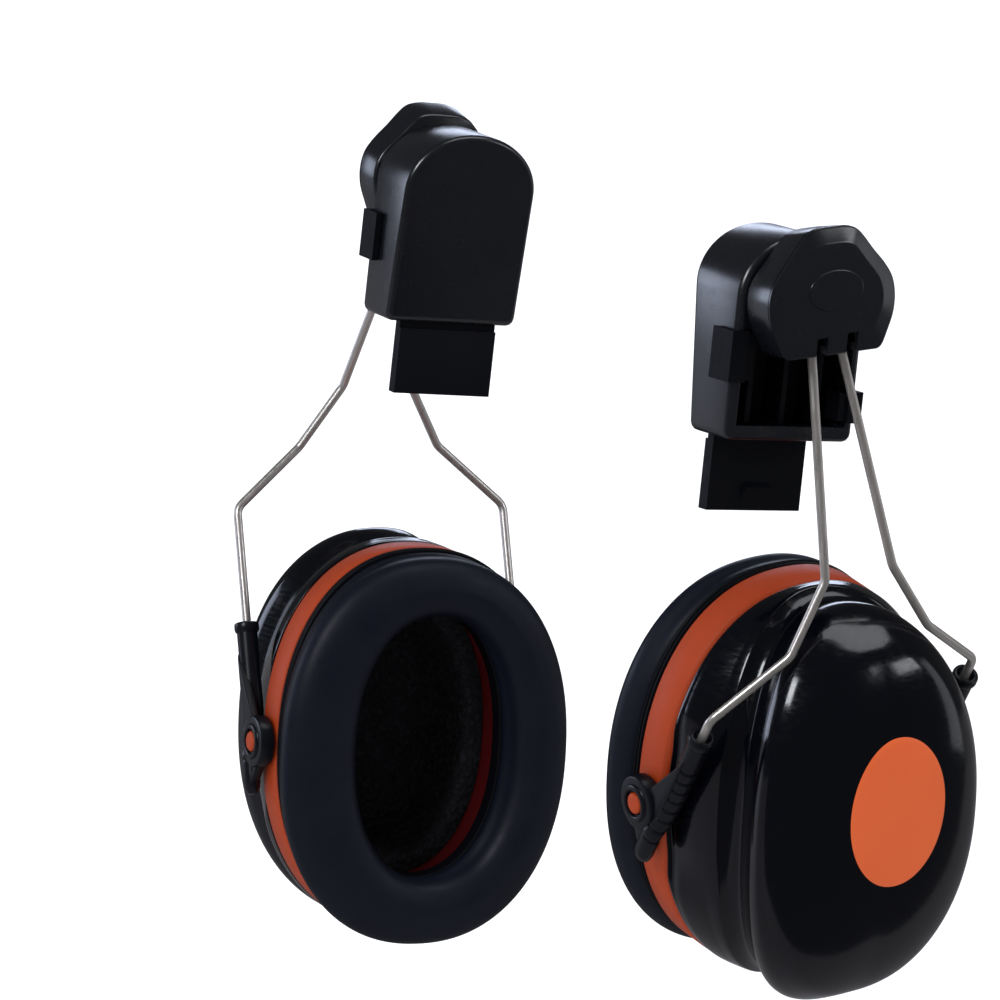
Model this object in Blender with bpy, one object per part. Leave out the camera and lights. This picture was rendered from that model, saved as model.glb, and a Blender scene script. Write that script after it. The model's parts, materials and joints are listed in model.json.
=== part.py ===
"""Earmuff hearing protector that clips to a safety helmet: two mirrored ear units.

World frame: +X the wearer's left, +Y the wearer's back, +Z up. The origin is the middle of the
line between the two swivel centres. Every piece is modelled once, for the left unit, in the
frame of the body that carries it; the right unit shares the meshes under a mirrored empty.
Lengths below are in millimetres and angles in degrees, and the meshes are made in metres.
"""

import math

import bmesh
import bpy
from mathutils import Matrix, Vector

MM = 0.001
GAP = 0.3

# Driving dimensions of the whole object
HEAD_SPAN = 241.2  # between the two swivel centres, across the helmet
BRACKET_YAW = 3.98  # the ear units face slightly forward
HINGE = (-6.4, 0.0, -3.0)  # swing axis of the yoke, from the swivel centre
TUBE_LEAN = 33.35  # the stirrup arms lean in towards the head by this much
POSE = {
    "left": {"swivel": 4.53, "swing": 4.95, "drop": 6.65, "tilt": 6.4},
    "right": {"swivel": -4.19, "swing": -11.38, "drop": 34.2, "tilt": 14.0},
}

# Ear cup, seen along its own axis n (outwards), with u to the back and v up
BAND_HALF_WIDTH = 42.65
BAND_HALF_HEIGHT = 57.0
BAND_DEPTH = 12.3
CUP_SQUARENESS = 2.2
CUP_APEX = 61.0
CUP_POINTS = 24
FLANK_BLEND = 1.6
CUSHION_SINK = (-1.4, -1.5)  # cushion's half height against the band's, and its middle's height
OPENING_SHIFT = (2.4, -1.0)  # the ear opening sits a little back and low in the cushion
PIVOT_N = 6.9
PIVOT_V = -0.65
STUD_RADIUS = 3.0
STUD_FACE = 48.6

# Yoke wire, from the swing axis
WIRE_RADIUS = 1.25
WIRE_LEG = [(-0.4, 3.37, 0.0), (16.93, 10.82, -70.64), (16.65, 22.18, -89.84), (8.59, 42.7, -105.98)]
WIRE_STRAIGHT = 39.5  # length of the straight end that slides in the arm
WIRE_LOOP_HEIGHT = 1.6

# Stirrup arm, from the mouth of its tube: across it and down along it to the pivot
PIVOT_ACROSS = 8.13
PIVOT_DOWN = 36.6
BOSS_RADIUS = 7.6
BOSS_INNER = 43.3
BOSS_OUTER = 47.7

# Swivel head and bracket, from the swivel centre
HEAD_BACK = -11.7
HEAD_OUTLINE = [
    (0, 19.2), (4.6, 19.0), (7.8, 17.9), (10.2, 15.6), (13.2, 11.8), (16.8, 7.6), (19.2, 3.6),
    (20, -1.0), (19.4, -6.0), (17.4, -10.9), (15.6, -14.4), (14.0, -15.4),
]
HEAD_ROLL = 3.5  # the head's outline leans back by this much
HEAD_CROWN = 0.9  # height of its back outline over that of its front outline
NOTCH_Y = 4.75
NOTCH_WIDTH = 3.4
AXLE_RADIUS = 2.0
HOOD_ROLL = 7.0  # the hood leans back with the helmet's side
HOOD_BACK = -36.7  # at the height of the swivel
HOOD_SLOPE = 0.114  # its back follows the helmet: outwards by this much per unit down
HOOD_FRONT = -13.3
HOOD_HALF_WIDTH = 20.3
HOOD_SHOULDER = -2.0
HOOD_TOP = 14.9
HOOD_BOTTOM = -41.0
HOOD_WALL = 2.4
FLOOR_WALL = 3.8
WINDOW_TOP = -10.8
CLIP_EARS = {  # lower and upper edge, reach to the side, stand-out in front, wrap backwards
    -1: (-25.1, -11.3, 22.4, 1.3, 8.4),
    1: (-35.5, -27.0, 21.6, 1.2, 3.9),
}
PLATE_BACK = -29.9
PLATE_FRONT = -27.0
BLADE_END = -62.0

COLOURS = {
    "bracket_housing": ((0.013, 0.014, 0.018), 0.38, 0.0),
    "helmet_adapter": ((0.008, 0.009, 0.012), 0.42, 0.0),
    "swivel_screw": ((0.60, 0.58, 0.55), 0.30, 1.0),
    "swivel_nut": ((0.55, 0.54, 0.52), 0.34, 1.0),
    "friction_washer": ((0.62, 0.60, 0.56), 0.28, 1.0),
    "head_housing": ((0.016, 0.017, 0.021), 0.40, 0.0),
    "head_cover": ((0.013, 0.014, 0.018), 0.45, 0.0),
    "swing_spring": ((0.58, 0.56, 0.52), 0.30, 1.0),
    "rocker": ((0.10, 0.10, 0.11), 0.45, 0.0),
    "wire_yoke": ((0.56, 0.50, 0.44), 0.28, 1.0),
    "front_arm": ((0.010, 0.011, 0.014), 0.45, 0.0),
    "rear_arm": ((0.010, 0.011, 0.014), 0.45, 0.0),
    "outer_shell": ((0.005, 0.006, 0.010), 0.12, 0.0),
    "inner_cup": ((0.52, 0.085, 0.025), 0.35, 0.0),
    "foam_liner": ((0.012, 0.014, 0.020), 0.95, 0.0),
    "cushion_plate": ((0.006, 0.007, 0.010), 0.22, 0.0),
    "ear_cushion": ((0.014, 0.017, 0.024), 0.48, 0.0),
}


# ---------------------------------------------------------------- modelling helpers

def clear_scene():
    for obj in list(bpy.context.scene.objects):
        bpy.data.objects.remove(obj, do_unlink=True)


def link_mesh(name, bm):
    """A new object in the cutters' collection, from a bmesh in millimetres."""
    bmesh.ops.recalc_face_normals(bm, faces=bm.faces)
    bmesh.ops.scale(bm, vec=(MM, MM, MM), verts=bm.verts)
    mesh = bpy.data.meshes.new(name)
    bm.to_mesh(mesh)
    bm.free()
    obj = bpy.data.objects.new(name, mesh)
    WORKSHOP.objects.link(obj)
    return obj


def loft(name, rings, cap=True):
    """Skin a row of rings that have the same number of points; both ends are capped."""
    bm = bmesh.new()
    loops = [[bm.verts.new(point) for point in ring] for ring in rings]
    for low, high in zip(loops, loops[1:]):
        for i, corner in enumerate(low):
            j = (i + 1) % len(low)
            bm.faces.new((corner, low[j], high[j], high[i]))
    if cap:
        bm.faces.new(loops[0])
    bm.faces.new(loops[-1])
    return link_mesh(name, bm)


def turned_loop(name, rings):
    """Skin rings that close on themselves, such as a cushion's section swept round an outline."""
    bm = bmesh.new()
    loops = [[bm.verts.new(point) for point in ring] for ring in rings]
    for low, high in zip(loops, loops[1:] + loops[:1]):
        for i, corner in enumerate(low):
            j = (i + 1) % len(low)
            bm.faces.new((corner, low[j], high[j], high[i]))
    return link_mesh(name, bm)


def box(name, low, high):
    size = [b - a for a, b in zip(low, high)]
    middle = [(a + b) / 2 for a, b in zip(low, high)]
    bm = bmesh.new()
    bmesh.ops.create_cube(bm, matrix=Matrix.Translation(middle) @ Matrix.Diagonal((*size, 1)))
    return link_mesh(name, bm)


def rod(name, start, end, radius, end_radius=None, sides=16):
    """A cylinder or cone from one point to another."""
    axis = Vector(end) - Vector(start)
    place = Matrix.Translation((Vector(start) + Vector(end)) / 2)
    place @= axis.to_track_quat("Z", "Y").to_matrix().to_4x4()
    bm = bmesh.new()
    bmesh.ops.create_cone(
        bm, cap_ends=True, segments=sides, radius1=radius,
        radius2=radius if end_radius is None else end_radius, depth=axis.length, matrix=place,
    )
    return link_mesh(name, bm)


def curve_mesh(curve, turn):
    """The curve's solid as a mesh object with its caps welded."""
    holder = bpy.data.objects.new(curve.name, curve)
    WORKSHOP.objects.link(holder)
    graph = bpy.context.evaluated_depsgraph_get()
    mesh = bpy.data.meshes.new_from_object(holder.evaluated_get(graph))
    bpy.data.objects.remove(holder, do_unlink=True)
    bm = bmesh.new()
    bm.from_mesh(mesh)
    bmesh.ops.remove_doubles(bm, verts=bm.verts, dist=0.00001)
    bmesh.ops.transform(bm, matrix=turn, verts=bm.verts)
    bmesh.ops.scale(bm, vec=(1 / MM,) * 3, verts=bm.verts)
    bpy.data.meshes.remove(mesh)
    return link_mesh(curve.name, bm)


def plate(name, outline, low, high, facing="x"):
    """A flat outline, in Y and Z facing X or in X and Z facing Y, extruded from low to high."""
    curve = bpy.data.curves.new(name, "CURVE")
    curve.dimensions = "2D"
    curve.fill_mode = "BOTH"
    curve.extrude = (high - low) / 2 * MM
    spline = curve.splines.new("POLY")
    spline.points.add(len(outline) - 1)
    for point, (across, up) in zip(spline.points, outline):
        point.co = (across * MM, up * MM, 0, 1)
    spline.use_cyclic_u = True
    middle = (low + high) / 2 * MM
    if facing == "x":
        turn = Matrix(((0, 0, 1, middle), (1, 0, 0, 0), (0, 1, 0, 0), (0, 0, 0, 1)))
    else:
        turn = Matrix(((1, 0, 0, 0), (0, 0, -1, middle), (0, 1, 0, 0), (0, 0, 0, 1)))
    return curve_mesh(curve, turn)


def wire(name, points, radius):
    curve = bpy.data.curves.new(name, "CURVE")
    curve.dimensions = "3D"
    curve.bevel_depth = radius * MM
    curve.bevel_resolution = 2
    curve.use_fill_caps = True
    spline = curve.splines.new("POLY")
    spline.points.add(len(points) - 1)
    for point, place in zip(spline.points, points):
        point.co = (*(c * MM for c in place), 1)
    return curve_mesh(curve, Matrix.Identity(4))


def combine(target, operation, *others):
    """Join or cut the target with the others, which are used up."""
    for other in others:
        modifier = target.modifiers.new(operation, "BOOLEAN")
        modifier.operation = operation
        modifier.object = other
        graph = bpy.context.evaluated_depsgraph_get()
        mesh = bpy.data.meshes.new_from_object(target.evaluated_get(graph))
        target.modifiers.clear()
        target.data = mesh
        bpy.data.objects.remove(other, do_unlink=True)
    return target


def mirrored_outline(half):
    """Close a half outline that starts on the middle line."""
    return half + [(-across, up) for across, up in reversed(half[1:])]


def inset(outline, distance):
    """Move a closed outline inwards, corner by corner."""
    middle = Vector((0, sum(p[1] for p in outline) / len(outline)))
    moved = []
    for i, point in enumerate(outline):
        before = Vector(outline[i - 1])
        after = Vector(outline[(i + 1) % len(outline)])
        along = (after - before).normalized()
        normal = Vector((-along.y, along.x))
        if normal.dot(middle - Vector(point)) < 0:
            normal.negate()
        moved.append(tuple(Vector(point) + normal * distance))
    return moved


def rounded_path(points, radius, steps=4):
    """A path through the points whose corners are arcs of about the radius."""
    path = [Vector(points[0])]
    for before, corner, after in zip(points, points[1:], points[2:]):
        corner = Vector(corner)
        back = (Vector(before) - corner)
        ahead = (Vector(after) - corner)
        turn = math.pi - back.angle(ahead)
        reach = min(radius * math.tan(turn / 2), back.length * 0.49, ahead.length * 0.49)
        start = corner + back.normalized() * reach
        end = corner + ahead.normalized() * reach
        for i in range(steps + 1):
            t = i / steps
            path.append(start * (1 - t) ** 2 + corner * 2 * t * (1 - t) + end * t ** 2)
    path.append(Vector(points[-1]))
    return path


# ---------------------------------------------------------------- the ear cup

def cup_ring(n, inwards, up_extra=0.0, count=CUP_POINTS):
    """A ring of the cup's outline at depth n, its half axes shortened by inwards."""
    half_width = BAND_HALF_WIDTH - inwards
    half_height = BAND_HALF_HEIGHT - inwards + up_extra
    power = 2 / CUP_SQUARENESS
    ring = []
    for i in range(count):
        angle = 2 * math.pi * i / count
        u = math.copysign(abs(math.cos(angle)) ** power, math.cos(angle)) * half_width
        v = math.copysign(abs(math.sin(angle)) ** power, math.sin(angle)) * half_height
        ring.append(Vector((n, u, v)))
    return ring


def flank_ring(side_n, top_n, half_width, half_height):
    """A ring of the shell that lies further out beside the arms than at its top and bottom."""
    ring = []
    for i in range(CUP_POINTS):
        angle = 2 * math.pi * i / CUP_POINTS
        across = abs(math.cos(angle)) ** (2 / CUP_SQUARENESS)
        upward = abs(math.sin(angle)) ** (2 / CUP_SQUARENESS)
        n = top_n + (side_n - top_n) * across ** FLANK_BLEND
        u = math.copysign(across, math.cos(angle)) * half_width
        v = math.copysign(upward, math.sin(angle)) * half_height
        ring.append(Vector((n, u, v)))
    return ring


def make_outer_shell():
    """Outer casing: a flank from the band to a crease, a valley inside it, then the dome."""
    rim = BAND_DEPTH + GAP
    outside = [
        (rim, rim, 39.6, 56.6), (22.0, 14.8, 39.3, 57.4), (31.0, 16.4, 36.6, 57.6), (35.0, 20.5, 32.8, 54.9),
        (40.0, 25.5, 33.4, 57.0), (45.0, 31.0, 35.3, 58.6), (50.0, 38.5, 35.2, 56.4), (54.5, 47.0, 30.5, 50.5),
        (58.2, 55.0, 22.0, 38.0), (60.3, 59.6, 12.0, 21.0), (CUP_APEX, CUP_APEX, 3.0, 5.0),
    ]
    inside = [
        (58.6, 58.6, 8.0, 14.0), (56.0, 53.0, 21.0, 36.0), (52.0, 45.5, 28.2, 47.5), (47.0, 37.0, 31.4, 53.2),
        (36.0, 23.0, 30.2, 52.3), (28.0, 16.0, 34.8, 54.2), (rim, rim, 37.4, 54.3),
    ]
    return bowl("outer_shell", [flank_ring(*row) for row in outside], [flank_ring(*row) for row in inside])


def bowl(name, outside, inside):
    """Skin a bowl from its outer rings, rim to floor, and its inner rings, floor to rim."""
    bm = bmesh.new()
    outer_loops = [[bm.verts.new(p) for p in ring] for ring in outside]
    inner_loops = [[bm.verts.new(p) for p in ring] for ring in inside]
    for group in (outer_loops, inner_loops, [inner_loops[-1], outer_loops[0]]):
        for low, high in zip(group, group[1:]):
            for i, corner in enumerate(low):
                j = (i + 1) % len(low)
                bm.faces.new((corner, low[j], high[j], high[i]))
    bm.faces.new(outer_loops[-1])
    bm.faces.new(inner_loops[0])
    return link_mesh(name, bm)


def shrunk(ring, n, size):
    """The ring moved to depth n and drawn in towards the cup's axis."""
    return [Vector((n, p.y * size, p.z * size)) for p in ring]


def make_inner_cup():
    """Orange inner cup: band between shell and cushion, front rim, inner bowl and pivot studs."""
    front = BAND_DEPTH
    band = [(0.7, 0.0), (front - 1.4, 0.0), (front, 1.5), (front, 3.4), (2.2, 3.4), (2.2, 11.2)]
    bowl_outside = [(30, 13.2), (42, 17.5), (48, 24)]
    bowl_inside = [(46, 24.5), (41, 19.4), (29.5, 15.2), (0, 13.2), (0, 0.7)]
    outside = [cup_ring(n, inwards) for n, inwards in band + bowl_outside]
    outside.append(shrunk(outside[-1], 50, 0.3))
    inside = [cup_ring(n, inwards) for n, inwards in bowl_inside]
    inside.insert(0, shrunk(inside[0], 48, 0.3))
    cup = bowl("inner_cup", outside, inside)
    for side in (-1, 1):
        root, neck, face = (
            (PIVOT_N, side * reach, PIVOT_V) for reach in (BAND_HALF_WIDTH - 1.6, STUD_FACE - 0.9, STUD_FACE)
        )
        overlap = (neck[0], neck[1] - side * 0.2, neck[2])
        stud = rod("stud", root, neck, STUD_RADIUS, sides=14)
        combine(stud, "UNION", rod("crown", overlap, face, STUD_RADIUS - 0.1, 1.9, sides=14))
        combine(cup, "UNION", stud)
    return cup


def make_foam_liner():
    """Sound-absorbing foam dish pressed into the inner cup."""
    outside = [cup_ring(n, inwards) for n, inwards in [(9, 14.3), (29, 15.9), (40, 20.2), (45, 26)]]
    outside.append(shrunk(outside[-1], 46.5, 0.4))
    inside = [cup_ring(n, inwards) for n, inwards in [(39, 31), (35, 26), (28, 23), (12, 20.5), (9, 18.5)]]
    inside.insert(0, shrunk(inside[0], 40, 0.3))
    return bowl("foam_liner", outside, inside)


def make_cushion_plate():
    """Stiff ring that the cushion is welded to, with a collar round the ear opening."""
    section = [
        (-GAP, 0.3), (-2.2, -0.1), (-2.8, 0.5), (-2.8, 15.6), (-6.4, 15.9), (-6.4, 17.3),
        (-2.0, 17.6), (3.0, 15.2), (3.0, 13.7), (-GAP, 13.7),
    ]
    return turned_loop("cushion_plate", [cup_ring(n, inwards) for n, inwards in section])


def make_ear_cushion():
    """Soft ring cushion, plain here: its skin is finished elsewhere."""
    root, lip, face = -3.2, -6.8, -16.6
    section = [
        (root, 1.9), (-5.6, -0.4), (-8.2, -1.7), (-11, -2.0), (-14.0, -0.6), (-16.0, 2.8), (face, 7.6),
        (-16, 12.2), (-14, 15.8), (-11, 17.5), (-8.4, 17.6), (lip, 16.7), (lip, 15.5), (root, 15.2),
    ]
    rings = []
    for n, inwards in section:
        outer = inwards < abs(face) / 2
        sunk = min(1.0, (root - n) / 4.0) if outer else 0.0
        moved = min(1.0, max(0.0, (lip - n) / 4.0)) if not outer else 0.0
        ring = cup_ring(n, inwards, CUSHION_SINK[0] * sunk)
        lift = CUSHION_SINK[1] * sunk + OPENING_SHIFT[1] * moved
        rings.append([p + Vector((0, OPENING_SHIFT[0] * moved, lift)) for p in ring])
    return turned_loop("ear_cushion", rings)


# ---------------------------------------------------------------- yoke and arms

def yoke_path():
    """The wire's centre line: down the front leg's end, up and over the loop, down the rear leg."""
    lean = math.radians(TUBE_LEAN)
    down = Vector((-math.sin(lean), 0, -math.cos(lean)))
    leg = [Vector(p) for p in WIRE_LEG]
    leg.append(leg[-1] + down * WIRE_STRAIGHT)
    slope = (leg[1] - leg[0]) / (leg[1] - leg[0]).z
    top = leg[0] + slope * WIRE_LOOP_HEIGHT
    rear = rounded_path([top] + leg[1:], 5.0)
    loop = []
    for i in range(1, 6):
        angle = math.pi * i / 6
        loop.append(Vector((top.x, -top.y * math.cos(angle), top.z + top.y * math.sin(angle))))
    front = [Vector((p.x, -p.y, p.z)) for p in reversed(rear)]
    return front + loop + rear


def make_wire_yoke():
    """One spring-steel wire: loop in the rocker, two splayed legs, two straight sliding ends."""
    return wire("wire_yoke", yoke_path(), WIRE_RADIUS)


def make_rocker():
    """Barrel that carries the wire's loop and swings on two trunnions in the head."""
    barrel = rod("rocker", (0, -7.4, 0), (0, 7.4, 0), 3.0)
    combine(barrel, "UNION", rod("trunnions", (0, -11.2, 0), (0, 11.2, 0), 1.6, sides=12))
    return combine(barrel, "DIFFERENCE", wire("groove", yoke_path(), WIRE_RADIUS + GAP))


def make_arm(name, side):
    """Stirrup arm: ribbed tube for the wire's end, and a pierced boss that holds the stud."""
    sections = [
        (0, 42.9, 3.6, 3.6), (2.6, 42.9, 3.6, 3.6), (3.0, 42.9, 3.0, 3.0), (26, 42.9, 3.0, 3.0),
        (34.5, 43.7, 3.0, 3.1), (39.5, 45.5, 2.45, 3.2), (49, 45.5, 2.45, 3.2), (51.1, 45.5, 1.6, 2.2),
    ]
    rings = []
    for down, middle, half_thick, half_wide in sections:
        ring = []
        for i in range(12):
            angle = 2 * math.pi * (i + 0.5) / 12
            across = half_wide * math.sin(angle)
            ring.append(Vector((across, side * (middle + half_thick * math.cos(angle)), -down)))
        rings.append(ring)
    arm = loft(name, rings)
    web_inner = [(-PIVOT_ACROSS + 1.0, -PIVOT_DOWN + 6.5), (-PIVOT_ACROSS, -PIVOT_DOWN - 7.0)]
    web = [(0.6, -9.0)] + web_inner + [(0.6, -50.0)]
    low, high = sorted((side * (BOSS_INNER + 0.5), side * (BOSS_OUTER - 1.2)))
    combine(arm, "UNION", plate("web", web, low, high, facing="y"))

    def on_pivot(reach):
        return (-PIVOT_ACROSS, side * reach, -PIVOT_DOWN)

    boss = rod("boss", on_pivot(BOSS_INNER), on_pivot(BOSS_OUTER), BOSS_RADIUS, sides=20)
    collar = rod("collar", on_pivot(BOSS_INNER), on_pivot(48.4), 5.1, sides=16)
    combine(arm, "UNION", boss, collar)
    hole = rod("hole", on_pivot(40), on_pivot(52), STUD_RADIUS + GAP, sides=16)
    wire_y = side * WIRE_LEG[-1][1]
    bore = rod("bore", (0, wire_y, 4), (0, wire_y, -36), WIRE_RADIUS + GAP, sides=12)
    return combine(arm, "DIFFERENCE", hole, bore)


# ---------------------------------------------------------------- swivel head

def rolled(outline, degrees):
    """Turn an outline so that its top leans back."""
    c = math.cos(math.radians(degrees))
    s = math.sin(math.radians(degrees))
    return [(y * c + z * s, z * c - y * s) for y, z in outline]


def crowned(outline, height):
    return [(y, z * height if z > 0 else z) for y, z in outline]


def make_head_housing():
    """Body of the swivel head: hollow in front, slotted below for the wires to swing."""
    whole = mirrored_outline(HEAD_OUTLINE)
    rings = []
    for x, height in ((HEAD_BACK, HEAD_CROWN), (-1.0, 1.0)):
        rings.append([Vector((x, y, z)) for y, z in rolled(crowned(whole, height), HEAD_ROLL)])
    housing = loft("head_housing", rings)
    pocket = rolled(inset(crowned(whole, HEAD_CROWN), 2.0), HEAD_ROLL)
    combine(housing, "DIFFERENCE", plate("pocket", pocket, HEAD_BACK + 1.8, 2.0))
    for side in (-1, 1):
        low, high = sorted((side * 9.8, side * 12.2))
        ear = box("ear", (HEAD_BACK + 1.0, low, -7.0), (-1.5, high, 1.0))
        combine(housing, "UNION", ear)
        near, far = (side * NOTCH_Y + edge * NOTCH_WIDTH / 2 for edge in (-1, 1))
        slot = box("slot", (HEAD_BACK + 1.5, near, -18), (2, far, -11.6))
        combine(housing, "DIFFERENCE", slot)
    bearing = rod("bearing", (HINGE[0], -14, HINGE[2]), (HINGE[0], 14, HINGE[2]), 1.6 + GAP)
    axle = rod("axle_hole", (-20, 0, 0), (-5, 0, 0), AXLE_RADIUS + GAP)
    sink = rod("sink", (HEAD_BACK - 0.2, 0, 0), (-9.0, 0, 0), AXLE_RADIUS + GAP - 0.1, 5.1)
    return combine(housing, "DIFFERENCE", bearing, axle, sink)


def make_head_cover():
    """Front cap of the swivel head, chamfered up to a raised plateau and notched below."""
    outline = mirrored_outline(HEAD_OUTLINE)
    plateau = [(y * 0.75, (z * 0.79 if z > 0 else z * 0.62)) for y, z in outline]
    middle = [(y * 0.88, (z * 0.9 if z > 0 else z * 0.82)) for y, z in outline]
    rings = []
    for x, ring in ((-0.7, outline), (0.0, outline), (1.1, middle), (1.7, plateau)):
        rings.append([Vector((x, y, z)) for y, z in rolled(ring, HEAD_ROLL)])
    cover = loft("head_cover", rings)
    for side in (-1, 1):
        near, far = (side * NOTCH_Y + edge * NOTCH_WIDTH / 2 for edge in (-1, 1))
        notch = box("notch", (-3, near, -18), (4, far, -10.6))
        combine(cover, "DIFFERENCE", notch)
    return cover


def make_swing_spring():
    """Small torsion spring round one trunnion, which loads the rocker."""
    turns, per_turn, pitch, radius = 2, 10, 0.62, 2.35
    points = []
    for i in range(turns * per_turn + 1):
        angle = 2 * math.pi * i / per_turn
        points.append((radius * math.cos(angle), 7.98 + pitch * i / per_turn, radius * math.sin(angle)))
    coil = wire("swing_spring", points, 0.28)
    coil.data.transform(Matrix.Translation(Vector(HINGE) * MM))
    return coil


# ---------------------------------------------------------------- bracket on the helmet

def hood_outline(inwards=0.0, foot=HOOD_BOTTOM):
    """Arched outline of the hood, from the top of the arch to its straight foot."""
    half_width = HOOD_HALF_WIDTH - inwards
    rise = HOOD_TOP - HOOD_SHOULDER - inwards
    half = []
    for degrees in range(0, 91, 15):
        angle = math.radians(degrees)
        half.append((half_width * math.sin(angle), HOOD_SHOULDER + rise * math.cos(angle)))
    return mirrored_outline(half + [(half_width, foot + 2.0), (half_width - 1.5, foot)])


def behind_helmet(name, distance):
    """Everything nearer the head than a plane at this distance from the hood's back."""
    high, low = 30, -70
    slope = [(HOOD_BACK + distance - HOOD_SLOPE * z, z) for z in (high, low)]
    return plate(name, [(-90, high), slope[0], slope[1], (-90, low)], -60, 60, facing="y")


def lean_back(obj):
    """Turn a bracket piece about the swivel axis, as the helmet's side leans."""
    obj.data.transform(Matrix.Rotation(math.radians(-HOOD_ROLL), 4, "X"))
    return obj


def make_bracket_housing():
    """Hood fixed to the helmet: arched box with a front wall for the head, a window and a lip."""
    hood = plate("bracket_housing", hood_outline(), -42, HOOD_FRONT)
    combine(hood, "DIFFERENCE", behind_helmet("back", 0))
    cavity = plate("cavity", hood_outline(HOOD_WALL, HOOD_BOTTOM + FLOOR_WALL), -42, HOOD_FRONT - HOOD_WALL)
    combine(cavity, "DIFFERENCE", behind_helmet("back_wall", HOOD_WALL))
    reach = HOOD_HALF_WIDTH - HOOD_WALL - 0.4
    window = box("window", (-18, -reach, HOOD_BOTTOM + FLOOR_WALL + 0.3), (0, reach, WINDOW_TOP))
    axle = rod("axle_hole", (-25, 0, 0), (0, 0, 0), AXLE_RADIUS + GAP)
    slot = box("blade_slot", (PLATE_BACK - 0.4, -15.5, -50), (PLATE_FRONT + 0.4, 15.5, -30))
    return lean_back(combine(hood, "DIFFERENCE", cavity, window, axle, slot))


def make_helmet_adapter():
    """Insert inside the hood, with two clip ears and the blade for the helmet's side slot."""
    floor_top = HOOD_BOTTOM + FLOOR_WALL
    adapter = box("helmet_adapter", (PLATE_BACK, -16, floor_top + GAP), (PLATE_FRONT, 16, -8))
    neck = box("neck", (PLATE_BACK, -15, HOOD_BOTTOM - 3), (PLATE_FRONT, 15, floor_top + 1))
    blade = box("blade", (PLATE_BACK - 1.0, -15, BLADE_END), (PLATE_FRONT, 15, HOOD_BOTTOM - 2))
    front = PLATE_FRONT - 0.2
    barb = plate("barb", [(front, -54), (front + 1.8, -55.5), (front, -59.5)], -4, 4, facing="y")
    ribs = []
    for y in (-11, 0, 11):
        ribs.append(box("rib", (front, y - 0.8, floor_top + 0.6), (front + 9, y + 0.8, -10)))
    combine(adapter, "UNION", neck, blade, barb, *ribs)
    wall = HOOD_HALF_WIDTH - HOOD_WALL
    for side, (low, high, reach, proud, wrap) in CLIP_EARS.items():
        near, far = sorted((side * (wall - 0.8), side * reach))
        ear = box("ear", (HOOD_FRONT - wrap, near, low), (HOOD_FRONT + proud, far, high))
        wall_near, wall_far = sorted((side * (wall - 0.4 - GAP), side * (HOOD_HALF_WIDTH + GAP)))
        wall_space = box("wall", (-40, wall_near, low - 5), (HOOD_FRONT + GAP, wall_far, high + 5))
        combine(ear, "DIFFERENCE", wall_space)
        link_near, link_far = sorted((side * 14.6, side * (wall - 0.7)))
        link_top = min(high, WINDOW_TOP) - 0.6
        link_front = HOOD_FRONT + proud - 0.9
        combine(ear, "UNION", box("link", (front, link_near, low + 0.4), (link_front, link_far, link_top)))
        combine(adapter, "UNION", ear)
    return lean_back(adapter)


def make_swivel_screw():
    """Countersunk screw that the head turns on."""
    screw = rod("swivel_screw", (-19.8, 0, 0), (-10.4, 0, 0), AXLE_RADIUS)
    return combine(screw, "UNION", rod("head", (-11.6, 0, 0), (-9.95, 0, 0), AXLE_RADIUS - 0.2, 3.7))


def make_swivel_nut():
    """Hexagon nut behind the hood's front wall."""
    seat = HOOD_FRONT - HOOD_WALL - GAP
    nut = rod("swivel_nut", (seat - 3.0, 0, 0), (seat, 0, 0), 4.05, sides=6)
    return combine(nut, "DIFFERENCE", rod("thread", (-25, 0, 0), (-10, 0, 0), AXLE_RADIUS + GAP / 2))


def make_friction_washer():
    """Spring washer that holds the head where it is turned."""
    washer = rod("friction_washer", (HOOD_FRONT + GAP, 0, 0), (HEAD_BACK - GAP, 0, 0), 8.0, sides=24)
    return combine(washer, "DIFFERENCE", rod("eye", (-20, 0, 0), (-5, 0, 0), AXLE_RADIUS + GAP))


# ---------------------------------------------------------------- assembly

def material(name):
    colour, roughness, metallic = COLOURS[name]
    made = bpy.data.materials.new(name)
    made.use_nodes = True
    shader = made.node_tree.nodes["Principled BSDF"]
    shader.inputs["Base Color"].default_value = (*colour, 1)
    shader.inputs["Roughness"].default_value = roughness
    shader.inputs["Metallic"].default_value = metallic
    return made


def empty(name, parent, place, turn_axis="X", turn=0.0):
    """A body's frame: its origin is on the joint's axis."""
    frame = bpy.data.objects.new(name, None)
    PARTS.objects.link(frame)
    frame.parent = parent
    frame.location = [c * MM for c in place]
    frame.rotation_euler["XYZ".index(turn_axis)] = math.radians(turn)
    return frame


def side_frames(side):
    """The chain of frames of one ear unit, from the bracket down to the cup."""
    pose = POSE[side]
    mirror = empty(f"{side}_unit", None, (0, 0, 0))
    mirror.scale.x = 1 if side == "left" else -1
    bracket = empty(f"{side}_bracket_frame", mirror, (HEAD_SPAN / 2, 0, 0), "Z", BRACKET_YAW)
    head = empty(f"{side}_head_frame", bracket, (0, 0, 0), "X", pose["swivel"])
    yoke = empty(f"{side}_yoke_frame", head, HINGE, "Y", pose["swing"])
    lean = math.radians(TUBE_LEAN)
    mouth = Vector((WIRE_LEG[-1][0], 0, WIRE_LEG[-1][2]))
    mouth += pose["drop"] * Vector((-math.sin(lean), 0, -math.cos(lean)))
    stirrup = empty(f"{side}_stirrup_frame", yoke, mouth, "Y", TUBE_LEAN)
    cup = empty(f"{side}_cup_frame", stirrup, (-PIVOT_ACROSS, 0, -PIVOT_DOWN), "Y", pose["tilt"] - TUBE_LEAN)
    return {"bracket": bracket, "head": head, "yoke": yoke, "stirrup": stirrup, "cup": cup}


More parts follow.
